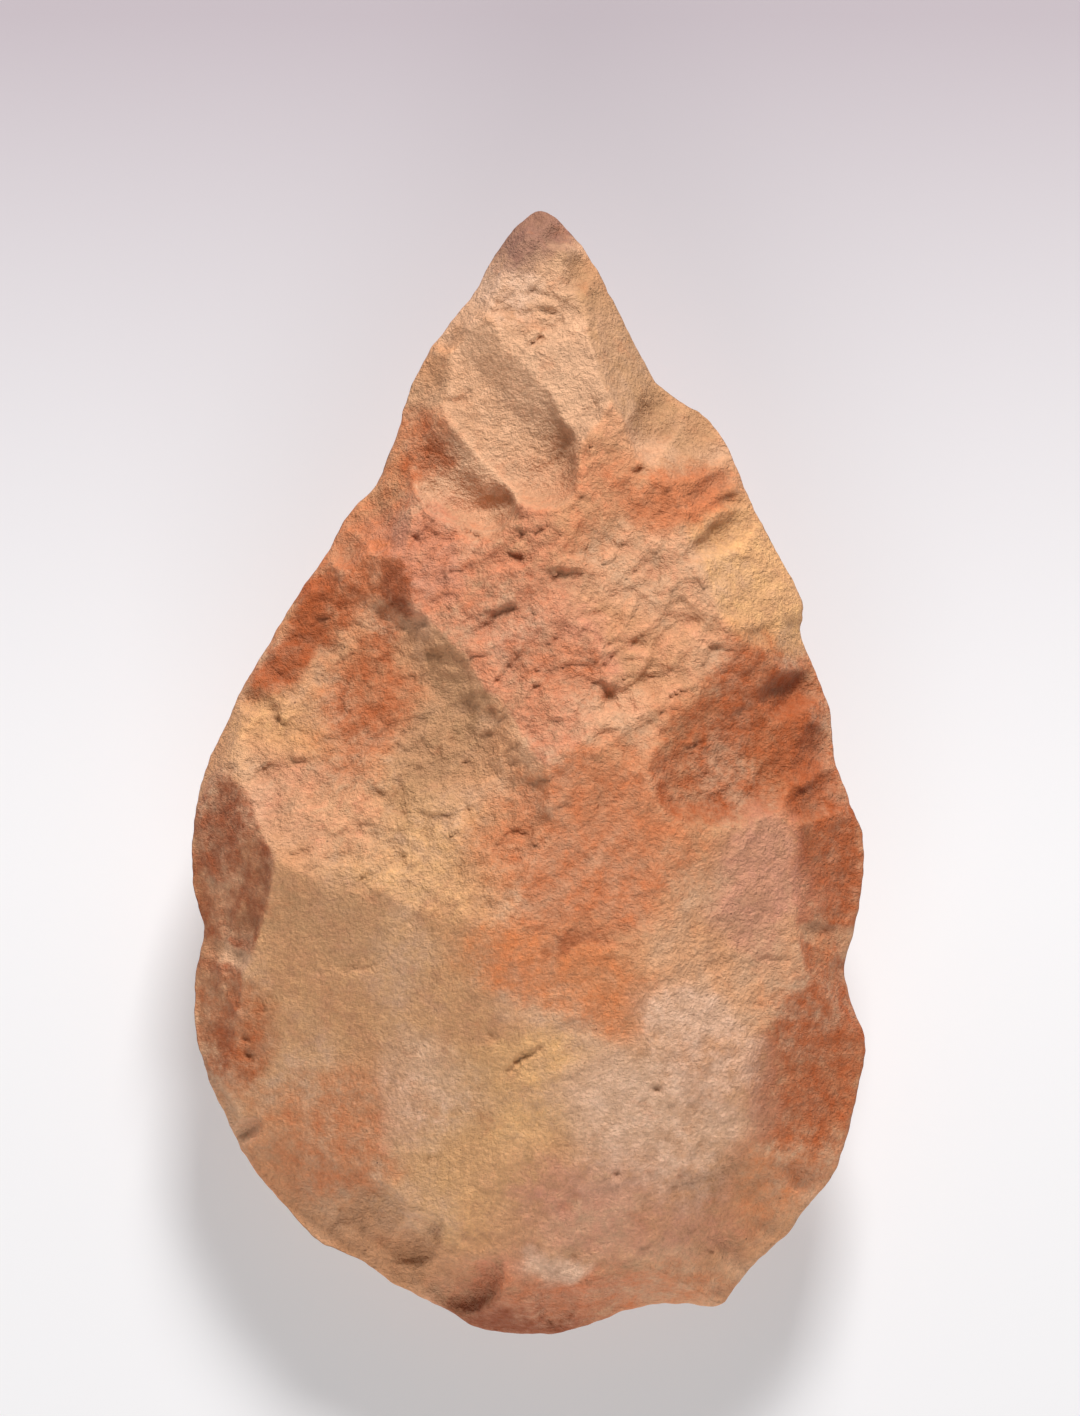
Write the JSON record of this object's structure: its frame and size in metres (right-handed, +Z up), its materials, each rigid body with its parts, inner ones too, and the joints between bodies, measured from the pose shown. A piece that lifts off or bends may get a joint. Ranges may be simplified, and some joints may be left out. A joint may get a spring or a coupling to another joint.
{
  "type": "stone hand axe",
  "caption": "Teardrop stone hand axe, flaked on both faces to a thin wavy edge, pointed at one end and blunt at the other, lying on a small flat on its back.",
  "frame": {"origin": "on the small flat that the stone lies on, under the middle of its outline", "axes": "+Z up out of the better worked face, +Y towards the pointed tip, +X to the right of that face"},
  "size_m": [0.0899, 0.1499, 0.0409],
  "materials": {
    "stone": "matte weathered quartzite with red, tan and lilac patina"
  },
  "bodies": {
    "root": {"hand_axe": "stone"}
  },
  "joints": []
}
